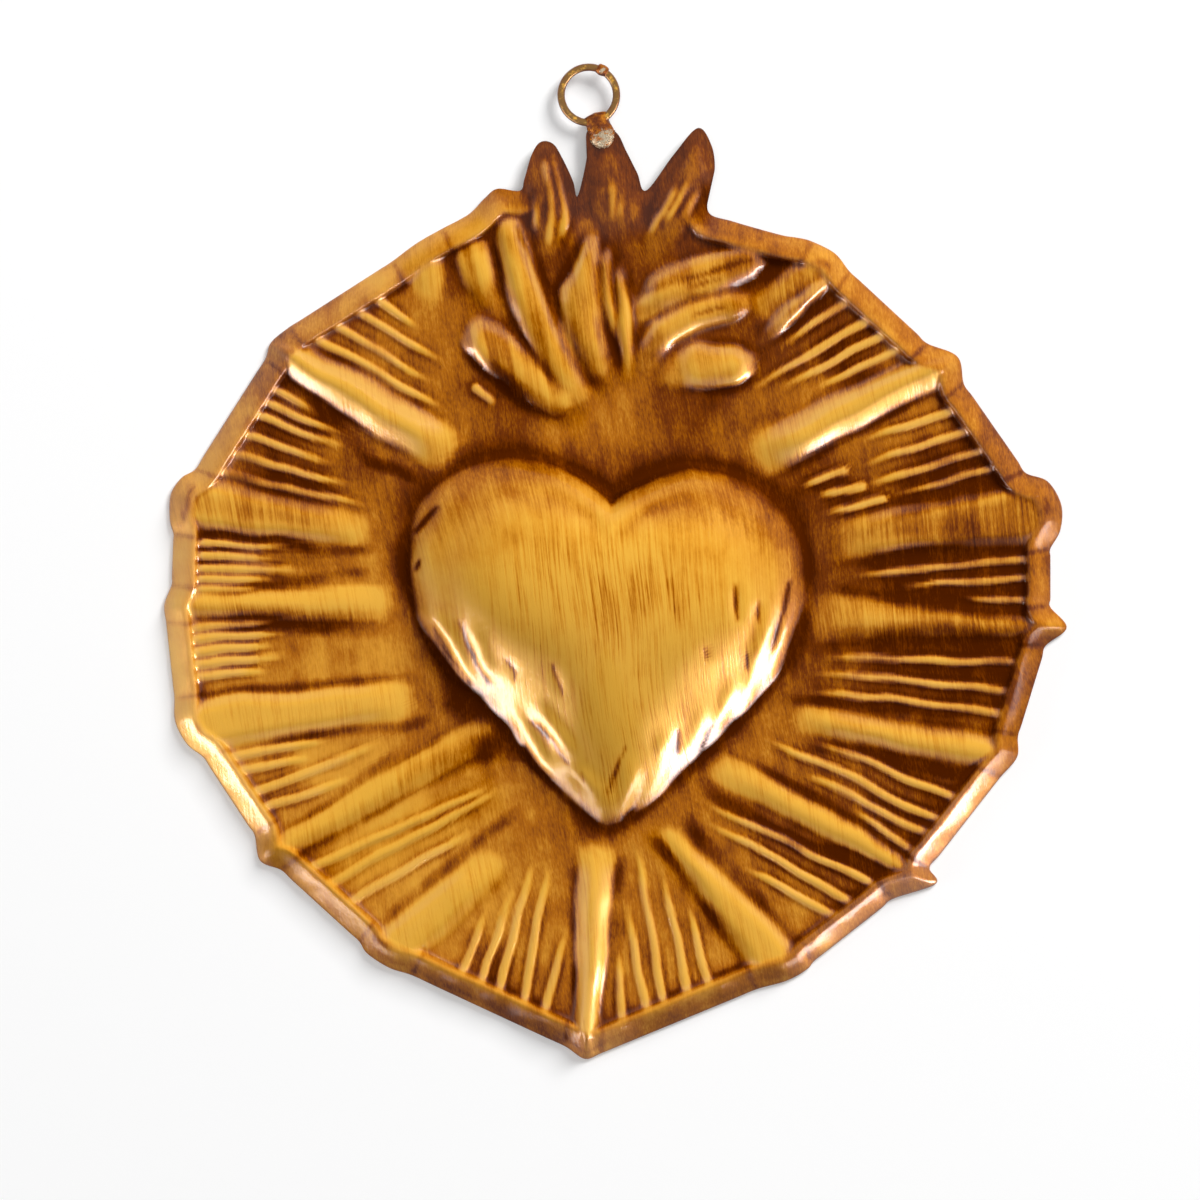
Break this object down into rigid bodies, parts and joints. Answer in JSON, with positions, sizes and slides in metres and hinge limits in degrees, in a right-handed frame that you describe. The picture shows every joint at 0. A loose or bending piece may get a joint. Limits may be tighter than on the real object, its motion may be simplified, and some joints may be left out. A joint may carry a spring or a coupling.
{
  "type": "sacred heart milagro",
  "caption": "Flat hanging ornament stamped from thin sheet metal: a domed heart among raised rays and flames inside a raised rim, with a wire ring soldered to the top flame.",
  "frame": {"origin": "under the middle of the whole ornament, on the plane that the cut edge lies on", "axes": "+Z out of the embossed face, +Y towards the hanging ring, +X to the right seen from the front"},
  "size_m": [0.0902, 0.0994, 0.0083],
  "materials": {
    "glazed_sheet": "gold paint with a brushed brown glaze under gloss lacquer",
    "glazed_wire": "worn gold paint and brown glaze on round wire",
    "solder": "dull grey solder with traces of gold paint"
  },
  "bodies": {
    "root": {"embossed_sheet": "glazed_sheet", "hanging_ring": "glazed_wire", "tip_solder": "solder", "seam_solder": "solder"}
  },
  "joints": []
}
